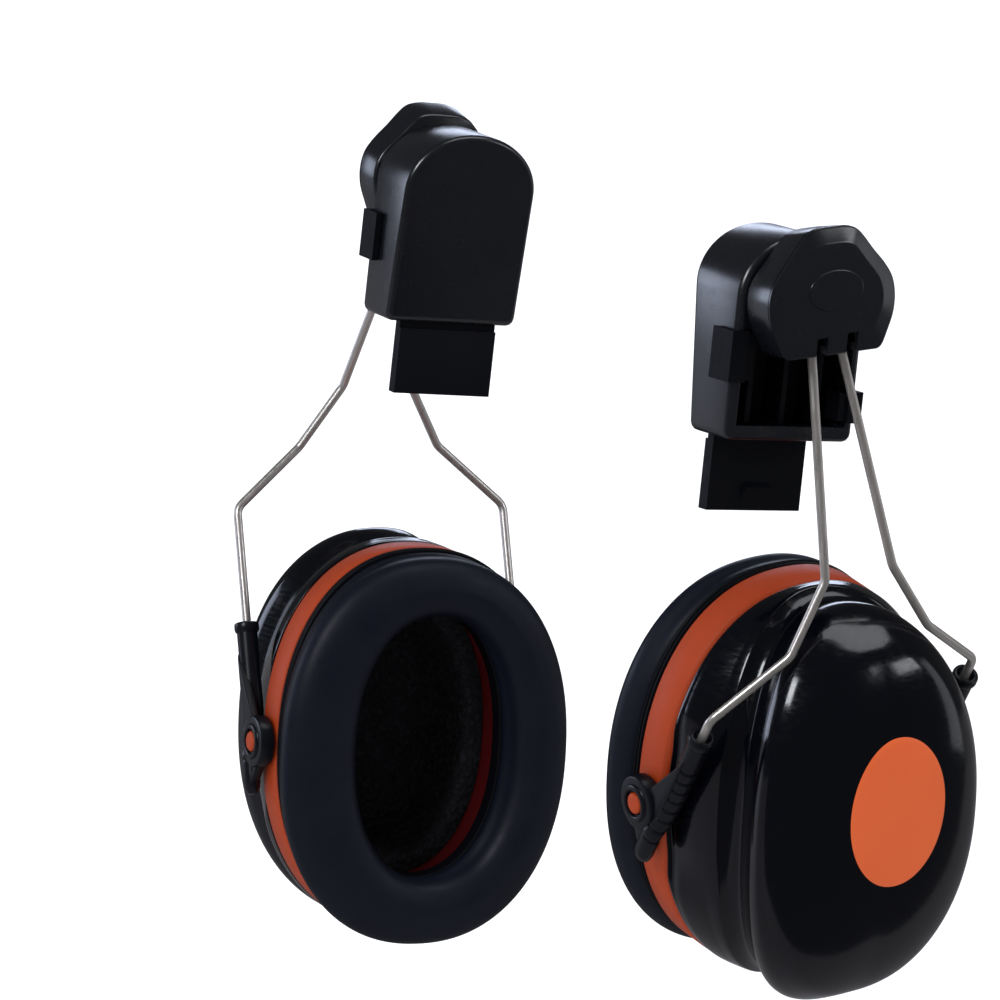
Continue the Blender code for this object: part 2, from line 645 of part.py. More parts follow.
def add_part(made, carrier, offset=(0, 0, 0)):
    """Place one modelled piece in both units, on the frame that carries it."""
    made.data.shade_smooth()
    made.data.set_sharp_from_angle(angle=math.radians(35))
    made.data.materials.clear()
    made.data.materials.append(material(made.name))
    name = made.name
    mesh = made.data
    bpy.data.objects.remove(made, do_unlink=True)
    for side, frames in UNITS.items():
        part = bpy.data.objects.new(f"{side}_{name}", mesh)
        PARTS.objects.link(part)
        part.parent = frames[carrier]
        part.location = [c * MM for c in offset]


def build():
    cup_offset = (-PIVOT_N, 0, -PIVOT_V)
    add_part(make_bracket_housing(), "bracket")
    add_part(make_helmet_adapter(), "bracket")
    add_part(make_swivel_screw(), "bracket")
    add_part(make_swivel_nut(), "bracket")
    add_part(make_friction_washer(), "bracket")
    add_part(make_head_housing(), "head")
    add_part(make_head_cover(), "head")
    add_part(make_swing_spring(), "head")
    add_part(make_rocker(), "yoke")
    add_part(make_wire_yoke(), "yoke")
    add_part(make_arm("front_arm", -1), "stirrup")
    add_part(make_arm("rear_arm", 1), "stirrup")
    add_part(make_outer_shell(), "cup", cup_offset)
    add_part(make_inner_cup(), "cup", cup_offset)
    add_part(make_foam_liner(), "cup", cup_offset)
    add_part(make_cushion_plate(), "cup", cup_offset)
    add_part(make_ear_cushion(), "cup", cup_offset)


clear_scene()
PARTS = bpy.data.collections.new("earmuff_hearing_protector")
WORKSHOP = bpy.data.collections.new("workshop")
for group in (PARTS, WORKSHOP):
    bpy.context.scene.collection.children.link(group)
UNITS = {side: side_frames(side) for side in ("left", "right")}
build()
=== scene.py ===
"""Looks of the helmet-mounted earmuff pair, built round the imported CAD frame.

Every visible piece is modelled once in the local frame of the body that carries it, in
millimetres, and copied to both ear units; the right unit is the mirror image of the left.
In those frames x points outwards from the head, y to the wearer's back and z up.
"""

import json
import math

import bmesh
import bpy
from mathutils import Matrix, Vector
from mathutils.bvhtree import BVHTree


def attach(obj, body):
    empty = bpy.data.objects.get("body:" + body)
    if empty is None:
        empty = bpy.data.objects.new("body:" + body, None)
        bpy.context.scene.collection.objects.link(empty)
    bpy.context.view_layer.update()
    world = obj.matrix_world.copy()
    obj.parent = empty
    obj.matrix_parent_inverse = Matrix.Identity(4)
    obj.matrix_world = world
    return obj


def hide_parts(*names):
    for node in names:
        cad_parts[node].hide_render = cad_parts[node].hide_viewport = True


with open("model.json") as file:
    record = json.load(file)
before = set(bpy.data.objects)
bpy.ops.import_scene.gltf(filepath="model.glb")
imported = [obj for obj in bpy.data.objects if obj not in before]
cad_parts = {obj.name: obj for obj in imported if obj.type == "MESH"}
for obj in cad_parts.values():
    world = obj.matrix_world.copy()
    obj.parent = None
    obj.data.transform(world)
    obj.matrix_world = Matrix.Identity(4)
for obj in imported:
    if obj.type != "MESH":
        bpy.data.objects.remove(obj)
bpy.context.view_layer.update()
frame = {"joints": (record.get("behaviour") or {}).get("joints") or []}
bpy.context.scene.view_settings.view_transform = "Standard"

MM = 0.001
SIDES = ("left", "right")

# Driving dimensions as in the CAD model, in millimetres and degrees
JOINTS = {joint["name"]: joint for joint in frame["joints"]}
HEAD_CENTRE = JOINTS["left_swivel"]["pos_m"][0] / MM
BRACKET_YAW = 3.98
HINGE = (-6.4, 0.0, -3.0)
TUBE_LEAN = 33.35
POSE = {
    "left": {"swivel": 4.53, "swing": 4.95, "drop": 6.65, "tilt": 6.4},
    "right": {"swivel": -4.19, "swing": -11.38, "drop": 34.2, "tilt": 14.0},
}

BAND_HALF_WIDTH = 42.65
BAND_HALF_HEIGHT = 57.0
BAND_DEPTH = 12.3
CUP_SQUARENESS = 2.2
CUP_APEX = 61.0
FLANK_BLEND = 1.6
ARM_RELIEF = 0.06
CUSHION_SINK = (-2.0, -1.9)
OPENING_SHIFT = (2.4, -1.0)
PIVOT_N = 6.9
PIVOT_V = -0.65
STUD_RADIUS = 3.0
STUD_FACE = 48.6

WIRE_RADIUS = 1.25
WIRE_LEG = [(-0.4, 3.37, 0.0), (16.93, 10.82, -70.64), (16.65, 22.18, -89.84), (8.59, 42.7, -105.98)]
WIRE_STRAIGHT = 39.5
WIRE_LOOP_HEIGHT = 1.6
WIRE_BEND = 5.0

PIVOT_ACROSS = 8.13
PIVOT_DOWN = 36.6
BOSS_RADIUS = 7.6
BOSS_INNER = 43.3
BOSS_OUTER = 47.7
GROOVE_PITCH = 4.0
GROOVE_DEPTH = 0.38
GROOVE_HALF_WIDTH = 0.55

HEAD_BACK = -11.7
HEAD_OUTLINE = [
    (0, 19.2), (4.6, 19.0), (7.8, 17.9), (10.2, 15.6), (13.2, 11.8), (16.8, 7.6), (19.2, 3.6),
    (20, -1.0), (19.4, -6.0), (17.4, -10.9), (15.6, -14.4), (14.0, -15.4),
]
HEAD_ROLL = 3.5
HEAD_CROWN = 0.9
NOTCH_Y = 4.75
NOTCH_WIDTH = 3.4
NOTCH_TOP = -10.0
PAD_SIZE = (8.6, 5.6)
PAD_LIFT = 2.2
HOOD_ROLL = 7.0
HOOD_BACK = -36.7
HOOD_SLOPE = 0.114
HOOD_FRONT = -13.3
HOOD_HALF_WIDTH = 20.3
HOOD_SHOULDER = -2.0
HOOD_TOP = 14.9
HOOD_BOTTOM = -41.0
HOOD_WALL = 2.4
FLOOR_WALL = 3.8
WINDOW_TOP = -10.8
CLIP_EARS = {-1: (-25.1, -11.3, 22.4, 1.3, 8.4), 1: (-35.5, -27.0, 21.6, 1.2, 3.9)}
PLATE_BACK = -29.9
PLATE_FRONT = -27.0
BLADE_END = -62.0

# The camera stands on the wearer's left, a little in front and above: degrees, metres, and
# the lens in millimetres
CAMERA_AZIMUTH = 61.82
CAMERA_ELEVATION = 11.81
CAMERA_DISTANCE = 2.15165
CAMERA_TARGET_Z = -0.07695
CAMERA_LENS = 276.2
CAMERA_SHIFT = -0.118

# The studio, in metres; the backdrop is dimmer where the object mirrors it
LIGHT_TARGET = (0.05, 0, -0.1)
FLOOR_LEVEL = -0.27
BACKDROP_SEEN = 1.1
BACKDROP_MIRRORED = 0.06


# ---------------------------------------------------------------- frames of the bodies

def turned(axis, degrees):
    return Matrix.Rotation(math.radians(degrees), 4, axis)


def unit_frames(side):
    """Matrices from each body's local millimetres to world metres."""
    pose = POSE[side]
    base = Matrix.Diagonal((MM if side == "left" else -MM, MM, MM, 1))
    bracket = base @ Matrix.Translation((HEAD_CENTRE, 0, 0)) @ turned("Z", BRACKET_YAW)
    head = bracket @ turned("X", pose["swivel"])
    yoke = head @ Matrix.Translation(HINGE) @ turned("Y", pose["swing"])
    lean = math.radians(TUBE_LEAN)
    mouth = Vector((WIRE_LEG[-1][0], 0, WIRE_LEG[-1][2]))
    mouth += pose["drop"] * Vector((-math.sin(lean), 0, -math.cos(lean)))
    stirrup = yoke @ Matrix.Translation(mouth) @ turned("Y", TUBE_LEAN)
    pivot = stirrup @ Matrix.Translation((-PIVOT_ACROSS, 0, -PIVOT_DOWN))
    pivot = pivot @ turned("Y", pose["tilt"] - TUBE_LEAN)
    cup = pivot @ Matrix.Translation((-PIVOT_N, 0, -PIVOT_V))
    return {"bracket": bracket, "head": head, "yoke": yoke, "stirrup": stirrup, "cup": cup}


FRAMES = {side: unit_frames(side) for side in SIDES}


def body_name(side, carrier):
    return "brackets" if carrier == "bracket" else f"{side}_{carrier}"


# ---------------------------------------------------------------- mesh helpers

def new_object(name, bm):
    """A scratch object from a bmesh, both in local millimetres."""
    bmesh.ops.recalc_face_normals(bm, faces=bm.faces)
    mesh = bpy.data.meshes.new(name)
    bm.to_mesh(mesh)
    bm.free()
    obj = bpy.data.objects.new(name, mesh)
    bpy.context.scene.collection.objects.link(obj)
    return obj


def skin(name, groups, caps=()):
    """Join the rings of each group with faces; caps are closed with one face each."""
    bm = bmesh.new()
    known = {}

    def corner(point):
        key = (round(point[0], 5), round(point[1], 5), round(point[2], 5))
        if key not in known:
            known[key] = bm.verts.new(point)
        return known[key]

    for rings in groups:
        loops = [[corner(p) for p in ring] for ring in rings]
        for low, high in zip(loops, loops[1:]):
            for i, start in enumerate(low):
                j = (i + 1) % len(low)
                face = list(dict.fromkeys((start, low[j], high[j], high[i])))
                if len(face) > 2 and not bm.faces.get(face):
                    bm.faces.new(face)
    for ring in caps:
        bm.faces.new([corner(p) for p in ring])
    return new_object(name, bm)


def box(name, low, high, round_by=0.0, segments=3):
    size = [b - a for a, b in zip(low, high)]
    middle = [(a + b) / 2 for a, b in zip(low, high)]
    bm = bmesh.new()
    bmesh.ops.create_cube(bm, matrix=Matrix.Translation(middle) @ Matrix.Diagonal((*size, 1)))
    obj = new_object(name, bm)
    return bevel(obj, round_by, segments) if round_by else obj


def rod(name, start, end, radius, end_radius=None, sides=64):
    axis = Vector(end) - Vector(start)
    place = Matrix.Translation((Vector(start) + Vector(end)) / 2)
    place @= axis.to_track_quat("Z", "Y").to_matrix().to_4x4()
    bm = bmesh.new()
    bmesh.ops.create_cone(
        bm, cap_ends=True, segments=sides, radius1=radius,
        radius2=radius if end_radius is None else end_radius, depth=axis.length, matrix=place,
    )
    return new_object(name, bm)


def plate(name, outline, low, high, facing="x"):
    """A flat outline, in Y and Z facing X or in X and Z facing Y, extruded from low to high."""
    def at(across, up, level):
        return (level, across, up) if facing == "x" else (across, level, up)

    rings = [[at(across, up, level) for across, up in outline] for level in (low, high)]
    return skin(name, [rings], caps=rings)


def revolve(name, profile, centre, axis, sides=96):
    """Turn a closed profile of (along, radius) round an axis through the centre."""
    axis = Vector(axis).normalized()
    first = axis.orthogonal().normalized()
    second = axis.cross(first)
    rings = []
    for along, radius in list(profile) + [profile[0]]:
        ring = []
        for i in range(sides):
            angle = 2 * math.pi * i / sides
            outwards = first * math.cos(angle) + second * math.sin(angle)
            ring.append(Vector(centre) + axis * along + outwards * radius)
        rings.append(ring)
    return skin(name, [rings])


def freeze(obj):
    graph = bpy.context.evaluated_depsgraph_get()
    obj.data = bpy.data.meshes.new_from_object(obj.evaluated_get(graph))
    obj.modifiers.clear()
    return obj


def combine(target, operation, *others):
    for other in others:
        modifier = target.modifiers.new(operation, "BOOLEAN")
        modifier.operation = operation
        modifier.object = other
        freeze(target)
        bpy.data.objects.remove(other, do_unlink=True)
    return target


def bevel(obj, width, segments=3, angle=30):
    """Round the sharp edges, after welding what a Boolean leaves split."""
    bm = bmesh.new()
    bm.from_mesh(obj.data)
    bmesh.ops.remove_doubles(bm, verts=bm.verts, dist=0.01)
    bmesh.ops.dissolve_limit(bm, angle_limit=math.radians(1), verts=bm.verts, edges=bm.edges)
    bm.to_mesh(obj.data)
    bm.free()
    modifier = obj.modifiers.new("Bevel", "BEVEL")
    modifier.width = width
    modifier.segments = segments
    modifier.limit_method = "ANGLE"
    modifier.angle_limit = math.radians(angle)
    modifier.miter_outer = "MITER_ARC"
    return freeze(obj)


def smooth_curve(points, steps, closed=False):
    """Points along a Catmull-Rom curve through the given points."""
    points = [Vector(p) for p in points]
    count = len(points)
    out = []
    spans = count if closed else count - 1
    for i in range(spans):
        if closed:
            a, b, c, d = (points[(i + k) % count] for k in (-1, 0, 1, 2))
        else:
            a, b, c, d = (points[min(max(i + k, 0), count - 1)] for k in (-1, 0, 1, 2))
        for s in range(steps):
            t = s / steps
            squared = (2 * a - 5 * b + 4 * c - d) * t * t
            cubed = (3 * b - a - 3 * c + d) * t ** 3
            out.append(0.5 * (2 * b + (c - a) * t + squared + cubed))
    if not closed:
        out.append(points[-1])
    return out


def mirrored_outline(half):
    return half + [(-across, up) for across, up in reversed(half[1:])]


def rounded_path(points, radius, steps=10):
    """A path through the points whose corners are arcs of about the radius."""
    path = [Vector(points[0])]
    for before, corner, after in zip(points, points[1:], points[2:]):
        corner = Vector(corner)
        back = Vector(before) - corner
        ahead = Vector(after) - corner
        turn = math.pi - back.angle(ahead)
        reach = min(radius * math.tan(turn / 2), back.length * 0.49, ahead.length * 0.49)
        start = corner + back.normalized() * reach
        end = corner + ahead.normalized() * reach
        for i in range(steps + 1):
            t = i / steps
            path.append(start * (1 - t) ** 2 + corner * 2 * t * (1 - t) + end * t ** 2)
    path.append(Vector(points[-1]))
    return path


def even_points(path, step):
    """The path cut into pieces no longer than the step."""
    out = [path[0]]
    for start, end in zip(path, path[1:]):
        pieces = max(1, math.ceil((end - start).length / step))
        out += [start.lerp(end, k / pieces) for k in range(1, pieces + 1)]
    return out


def tube(name, path, radius, sides=24):
    """A round wire along the path with domed ends."""
    tangents = []
    for i in range(len(path)):
        tangents.append((path[min(i + 1, len(path) - 1)] - path[max(i - 1, 0)]).normalized())
    side = tangents[0].orthogonal().normalized()
    rings = []
    for place, tangent in zip(path, tangents):
        side = (side - tangent * side.dot(tangent)).normalized()
        other = tangent.cross(side)
        rings.append([
            place + (side * math.cos(a) + other * math.sin(a)) * radius
            for a in (2 * math.pi * k / sides for k in range(sides))
        ])
    first, last = rings[0], rings[-1]
    start = [path[0].lerp(p, 0.8) - tangents[0] * radius * 0.25 for p in first]
    end = [path[-1].lerp(p, 0.8) + tangents[-1] * radius * 0.25 for p in last]
    return skin(name, [[start] + rings + [end]], caps=[start, end])


# ---------------------------------------------------------------- materials

# Depth of a moulding's grain, in metres
GRAIN = 0.00001


def shader_material(name):
    made = bpy.data.materials.new(name)
    made.use_nodes = True
    tree = made.node_tree
    return made, tree, tree.nodes["Principled BSDF"]


def add_node(tree, kind, **values):
    node = tree.nodes.new(kind)
    for key, value in values.items():
        if key in node.inputs:
            node.inputs[key].default_value = value
        else:
            setattr(node, key, value)
    return node


def noise_of(tree, scale, detail=4.0, roughness=0.55, stretch=None):
    """A noise texture on the piece's own coordinates, in metres."""
    coordinates = tree.nodes.new("ShaderNodeTexCoord")
    texture = add_node(tree, "ShaderNodeTexNoise", Scale=scale, Detail=detail, Roughness=roughness)
    if stretch:
        mapping = tree.nodes.new("ShaderNodeMapping")
        mapping.inputs["Scale"].default_value = stretch
        tree.links.new(coordinates.outputs["Object"], mapping.inputs["Vector"])
        tree.links.new(mapping.outputs["Vector"], texture.inputs["Vector"])
    else:
        tree.links.new(coordinates.outputs["Object"], texture.inputs["Vector"])
    return texture


def ramp_between(tree, fac, low, high, start=0.0, end=1.0):
    ramp = tree.nodes.new("ShaderNodeMapRange")
    ramp.inputs["From Min"].default_value = start
    ramp.inputs["From Max"].default_value = end
    ramp.inputs["To Min"].default_value = low
    ramp.inputs["To Max"].default_value = high
    tree.links.new(fac, ramp.inputs["Value"])
    return ramp.outputs["Result"]


def mix_colours(tree, fac, low, high):
    mix = tree.nodes.new("ShaderNodeMix")
    mix.data_type = "RGBA"
    mix.inputs["A"].default_value = (*low, 1)
    mix.inputs["B"].default_value = (*high, 1)
    tree.links.new(fac, mix.inputs["Factor"])
    return mix.outputs["Result"]


def bump_chain(tree, shader, layers):
    """Stack bump layers, each a (height socket, strength, distance in metres)."""
    before = None
    for height, strength, distance in layers:
        bump = add_node(tree, "ShaderNodeBump", Strength=strength, Distance=distance)
        tree.links.new(height, bump.inputs["Height"])
        if before:
            tree.links.new(before, bump.inputs["Normal"])
        before = bump.outputs["Normal"]
    tree.links.new(before, shader.inputs["Normal"])


def moulded_plastic(name, dark, light, roughness, shine=0.5):
    """Moulded plastic: faint mottling, a fine spark-eroded grain and handling marks."""
    made, tree, shader = shader_material(name)
    broad = noise_of(tree, 60, 3)
    fine = noise_of(tree, 2600, 3, 0.6)
    marks = noise_of(tree, 320, 6, 0.7)
    tree.links.new(mix_colours(tree, broad.outputs["Fac"], dark, light), shader.inputs["Base Color"])
    rough = ramp_between(tree, marks.outputs["Fac"], roughness * 0.93, roughness * 1.1, 0.35, 0.65)
    tree.links.new(rough, shader.inputs["Roughness"])
    shader.inputs["Specular IOR Level"].default_value = shine
    layers = [(fine.outputs["Fac"], 0.3, GRAIN), (marks.outputs["Fac"], 0.04, GRAIN)]
    bump_chain(tree, shader, layers)
    return made


def glossy_shell(name, dark, light, roughness):
    """High-gloss moulding with a slow ripple, fine hairlines and a little dust."""
    made, tree, shader = shader_material(name)
    broad = noise_of(tree, 45, 2)
    ripple = noise_of(tree, 26, 2)
    hairs = noise_of(tree, 500, 5, 0.6, stretch=(0.15, 1, 2.6))
    dust = noise_of(tree, 2200, 3, 0.7)
    tree.links.new(mix_colours(tree, broad.outputs["Fac"], dark, light), shader.inputs["Base Color"])
    rough = ramp_between(tree, hairs.outputs["Fac"], roughness * 0.75, roughness * 1.7, 0.35, 0.7)
    tree.links.new(rough, shader.inputs["Roughness"])
    shader.inputs["IOR"].default_value = 1.5
    layers = [
        (ripple.outputs["Fac"], 0.25, 0.0006), (hairs.outputs["Fac"], 0.04, 0.00002),
        (dust.outputs["Fac"], 0.03, 0.00002),
    ]
    bump_chain(tree, shader, layers)
    return made


def soft_skin(name, dark, light, roughness):
    """Thin PVC skin over foam: leathery grain with slack, shallow creases."""
    made, tree, shader = shader_material(name)
    broad = noise_of(tree, 70, 3)
    creases = noise_of(tree, 130, 4, 0.65, stretch=(1.0, 0.6, 0.6))
    coordinates = tree.nodes.new("ShaderNodeTexCoord")
    leather = add_node(tree, "ShaderNodeTexVoronoi", feature="F1", Scale=1500.0)
    tree.links.new(coordinates.outputs["Object"], leather.inputs["Vector"])
    tree.links.new(mix_colours(tree, broad.outputs["Fac"], dark, light), shader.inputs["Base Color"])
    rough = ramp_between(tree, creases.outputs["Fac"], roughness * 0.85, roughness * 1.2, 0.3, 0.7)
    tree.links.new(rough, shader.inputs["Roughness"])
    shader.inputs["Specular IOR Level"].default_value = 0.2
    layers = [(creases.outputs["Fac"], 0.35, 0.0004), (leather.outputs["Distance"], 0.25, 0.00004)]
    bump_chain(tree, shader, layers)
    return made


def open_foam(name, dark, light):
    """Open-cell foam: a rough surface of small cells, dark with paler specks."""
    made, tree, shader = shader_material(name)
    coordinates = tree.nodes.new("ShaderNodeTexCoord")
    cells = add_node(tree, "ShaderNodeTexVoronoi", feature="F1", Scale=620.0)
    tree.links.new(coordinates.outputs["Object"], cells.inputs["Vector"])
    fine = noise_of(tree, 900, 4, 0.7)
    specks = ramp_between(tree, fine.outputs["Fac"], 0.0, 1.0, 0.5, 0.75)
    tree.links.new(mix_colours(tree, specks, dark, light), shader.inputs["Base Color"])
    shader.inputs["Roughness"].default_value = 0.95
    layers = [(cells.outputs["Distance"], 0.9, 0.0008), (fine.outputs["Fac"], 0.6, 0.0005)]
    bump_chain(tree, shader, layers)
    return made


def bare_metal(name, dark, light, roughness, stretch=(1, 1, 1), metallic=1.0):
    """Bare metal: fine lines, drawn out along a wire by the stretch, and small dull spots."""
    made, tree, shader = shader_material(name)
    lines = noise_of(tree, 900, 5, 0.65, stretch=stretch)
    spots = noise_of(tree, 150, 4, 0.6)
    tree.links.new(mix_colours(tree, spots.outputs["Fac"], dark, light), shader.inputs["Base Color"])
    rough = ramp_between(tree, lines.outputs["Fac"], roughness * 0.7, roughness * 1.4, 0.3, 0.7)
    tree.links.new(rough, shader.inputs["Roughness"])
    shader.inputs["Metallic"].default_value = metallic
    layers = [(lines.outputs["Fac"], 0.25, 0.00003), (spots.outputs["Fac"], 0.1, 0.00003)]
    bump_chain(tree, shader, layers)
    return made


def paint(node, material):
    """Give the kept CAD pieces of both units their material."""
    for side in SIDES:
        mesh = bpy.data.objects[f"{side}_{node}"].data
        mesh.materials.clear()
        mesh.materials.append(material)


# ---------------------------------------------------------------- placing pieces

def dress(made, name, carrier, material, nodes=(), sharp=35.0, painted_shade=None):
    """Copy a piece to both units, on the body that carries it, in place of its CAD nodes."""
    mesh = made.data
    bpy.data.objects.remove(made, do_unlink=True)
    placed = {}
    for side in SIDES:
        own = mesh.copy()
        own.materials.clear()
        own.materials.append(material)
        for face in own.polygons:
            face.material_index = 0
        # Faces that the mask picks get a second, darker material: painted shade
        if painted_shade:
            own.materials.append(painted_shade[0])
            for face in own.polygons:
                face.material_index = 1 if painted_shade[1](face.center) else 0
        own.transform(FRAMES[side][carrier])
        if side == "right":
            own.flip_normals()
        own.shade_smooth()
        own.set_sharp_from_angle(angle=math.radians(sharp))
        piece = bpy.data.objects.new(f"{side}_{name}", own)
        own.name = piece.name
        bpy.context.scene.collection.objects.link(piece)
        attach(piece, body_name(side, carrier))
        for node in nodes:
            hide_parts(f"{side}_{node}")
        placed[side] = piece
    return placed


# ---------------------------------------------------------------- ear cup

CUP_COUNT = 144
CUSHION_COUNT = 96
FOAM_PRESSURE = 4.0
CLOTH_FRAMES = 20
SKIN_TRAVEL = 0.7
BADGE_PLACE = (2.0, 8.0)
BADGE_SIZE = (15.5, 21.5)
BADGE_PROUD = 0.4
BADGE_COUNT = 96


def cup_ring(n, half_width, half_height, count=CUP_COUNT):
    """A superellipse round the cup's axis at the distance n along it."""
    power = 2 / CUP_SQUARENESS
    ring = []
    for i in range(count):
        angle = 2 * math.pi * i / count
        u = math.copysign(abs(math.cos(angle)) ** power, math.cos(angle)) * half_width
        v = math.copysign(abs(math.sin(angle)) ** power, math.sin(angle)) * half_height
        ring.append(Vector((n, u, v)))
    return ring


def inset_ring(n, inwards):
    return cup_ring(n, BAND_HALF_WIDTH - inwards, BAND_HALF_HEIGHT - inwards)


def flank_ring(side_n, top_n, half_width, half_height):
    """A ring that lies further out beside the arms than at the cup's top and bottom."""
    ring = cup_ring(0, half_width, half_height)
    for i, point in enumerate(ring):
        across = abs(math.cos(2 * math.pi * i / CUP_COUNT)) ** (2 / CUP_SQUARENESS)
        point.x = top_n + (side_n - top_n) * across ** FLANK_BLEND
        past_arm = min(1.0, max(0.0, (abs(point.z) - 14) / 16))
        near_band = min(1.0, max(0.0, (27.0 - side_n) / 10))
        widening = 1 + ARM_RELIEF * near_band * past_arm ** 2 * (3 - 2 * past_arm)
        point.y *= min(widening, max(1.0, (BAND_HALF_WIDTH - 0.3) / half_width))
    return ring


def make_outer_shell():
    """Flank from the band to the crease, the valley inside it, then the boxy dome."""
    rim = [
        (12.4, 12.4, 40.3, 56.1), (12.45, 12.45, 40.9, 56.6), (12.8, 12.7, 41.1, 57.0),
        (13.3, 13.0, 40.4, 57.1), (14.0, 13.2, 39.9, 57.1),
    ]
    flank = [
        (16.5, 13.7, 39.8, 57.2), (22.0, 14.8, 39.2, 57.4), (27.0, 15.6, 38.2, 57.6),
        (30.2, 16.1, 37.1, 57.6), (31.1, 16.6, 36.5, 57.4),
    ]
    valley = [
        (31.6, 17.1, 35.8, 56.9), (33.2, 18.7, 34.0, 55.6), (35.3, 20.9, 32.8, 54.9),
        (37.8, 23.5, 32.8, 55.7), (41.8, 27.5, 34.1, 57.5),
    ]
    dome = [
        (45.3, 31.5, 35.2, 58.2), (48.6, 36.2, 35.3, 57.1), (51.6, 41.6, 33.6, 54.3),
        (54.4, 47.0, 30.7, 50.6), (56.6, 51.4, 26.6, 45.0), (58.3, 55.0, 21.8, 37.8),
        (59.6, 57.9, 16.4, 28.8), (60.4, 59.6, 11.0, 19.5), (60.85, 60.6, 5.5, 9.8),
        (CUP_APEX, CUP_APEX, 1.0, 1.8),
    ]
    hollow = [
        (12.4, 12.4, 37.2, 54.2), (28, 16, 34.6, 54), (36, 23, 30.1, 52.2), (47, 37, 31.2, 53),
        (56, 53, 20, 34),
    ]
    outside = [flank_ring(*row) for row in smooth_curve(rim + flank + valley + dome, 5)]
    inside = [flank_ring(*row) for row in hollow]
    edge = [outside[0], inside[0]]
    return skin("outer_shell", [outside, inside, edge], caps=[outside[-1], inside[-1]])


def on_dome(shell_tree, u, v, proud):
    """The point of the dome at this place across and up, raised by a little."""
    hit, normal = shell_tree.ray_cast(Vector((90, u, v)), Vector((-1, 0, 0)))[:2]
    return hit + (normal if normal.x > 0 else -normal) * proud


def make_badge(shell):
    """Plain oval inlay on the dome, with no lettering."""
    mesh = bmesh.new()
    mesh.from_mesh(shell.data)
    tree = BVHTree.FromBMesh(mesh)
    mesh.free()
    edge = [(1.0, -0.3), (1.0, 0.12), (0.985, 0.3), (0.95, 0.38)]
    face = [(size, BADGE_PROUD) for size in (0.9, 0.7, 0.5, 0.3, 0.1)]
    rings = []
    for size, proud in edge + face:
        ring = []
        for i in range(BADGE_COUNT):
            angle = 2 * math.pi * i / BADGE_COUNT
            u = BADGE_PLACE[0] + BADGE_SIZE[0] * size * math.cos(angle)
            v = BADGE_PLACE[1] + BADGE_SIZE[1] * size * math.sin(angle)
            ring.append(on_dome(tree, u, v, proud))
        rings.append(ring)
    return skin("badge", [rings], caps=[rings[0], rings[-1]])


def make_inner_cup():
    front = BAND_DEPTH
    band = [
        (0.35, 0.55), (0.5, 0.2), (0.9, 0.0), (front - 1.8, 0.0), (front - 1.2, 0.3),
        (front - 0.1, 1.6), (front, 2.0), (front, 6.5), (front, 12.0),
    ]
    bowl_outside = [(30, 13.2), (42, 17.5), (48, 24)]
    bowl_inside = [
        (46, 24.5), (41, 19.4), (35, 16.8), (29.5, 15.2), (0.6, 13.3), (0.0, 12.7), (0.0, 1.0),
        (0.35, 0.55),
    ]
    outside = [inset_ring(n, inwards) for n, inwards in band + bowl_outside]
    floor_out = [Vector((50, p.y * 0.3, p.z * 0.3)) for p in outside[-1]]
    inside = [inset_ring(n, inwards) for n, inwards in bowl_inside]
    floor_in = [Vector((48, p.y * 0.3, p.z * 0.3)) for p in inside[0]]
    return skin("inner_cup", [outside + [floor_out], [floor_in] + inside], caps=[floor_out, floor_in])


def make_stud(side):
    """Pivot stud on the band: a pin with a low domed face."""
    profile = [(BAND_HALF_WIDTH - 1.5, 0.01), (BAND_HALF_WIDTH - 1.5, STUD_RADIUS)]
    crown = 0.9
    rounding = 1.2
    for i in range(9):
        angle = math.pi / 2 * i / 8
        along = STUD_FACE - crown + crown * math.sin(angle)
        profile.append((along, (STUD_RADIUS - rounding) + rounding * math.cos(angle)))
    profile.append((STUD_FACE + 0.05, 0.01))
    return revolve("stud", profile, (PIVOT_N, 0, PIVOT_V), (0, side, 0), sides=64)


def make_foam_liner():
    outside = [inset_ring(n, inwards) for n, inwards in ((12.5, 14.6), (29, 15.9), (40, 20.2), (45, 26))]
    floor_out = [Vector((46.5, p.y * 0.4, p.z * 0.4)) for p in outside[-1]]
    keys = [
        (40.2, 38), (39.2, 31), (35, 26), (28, 23), (16, 20.8), (12.9, 19.4), (12.2, 17.7),
        (12.5, 14.6),
    ]
    inside = [inset_ring(k[0], k[1]) for k in smooth_curve([(*k, 0) for k in keys], 4)]
    return skin("foam_liner", [outside + [floor_out], inside], caps=[floor_out, inside[0]])


def make_cushion_plate():
    section = [
        (-0.3, 0.5), (-0.6, 0.05), (-1.0, 0.05), (-1.3, 0.5), (-1.5, 0.5), (-1.8, 0.0),
        (-2.3, -0.15), (-2.8, 0.4), (-2.8, 15.6), (-5.9, 15.9), (-6.35, 16.2), (-6.45, 16.7),
        (-6.2, 17.2), (-2.0, 17.6), (3.0, 15.2), (3.0, 13.7), (-0.3, 13.7), (-0.3, 0.5),
    ]
    return skin("cushion_plate", [[inset_ring(n, inwards) for n, inwards in section]])


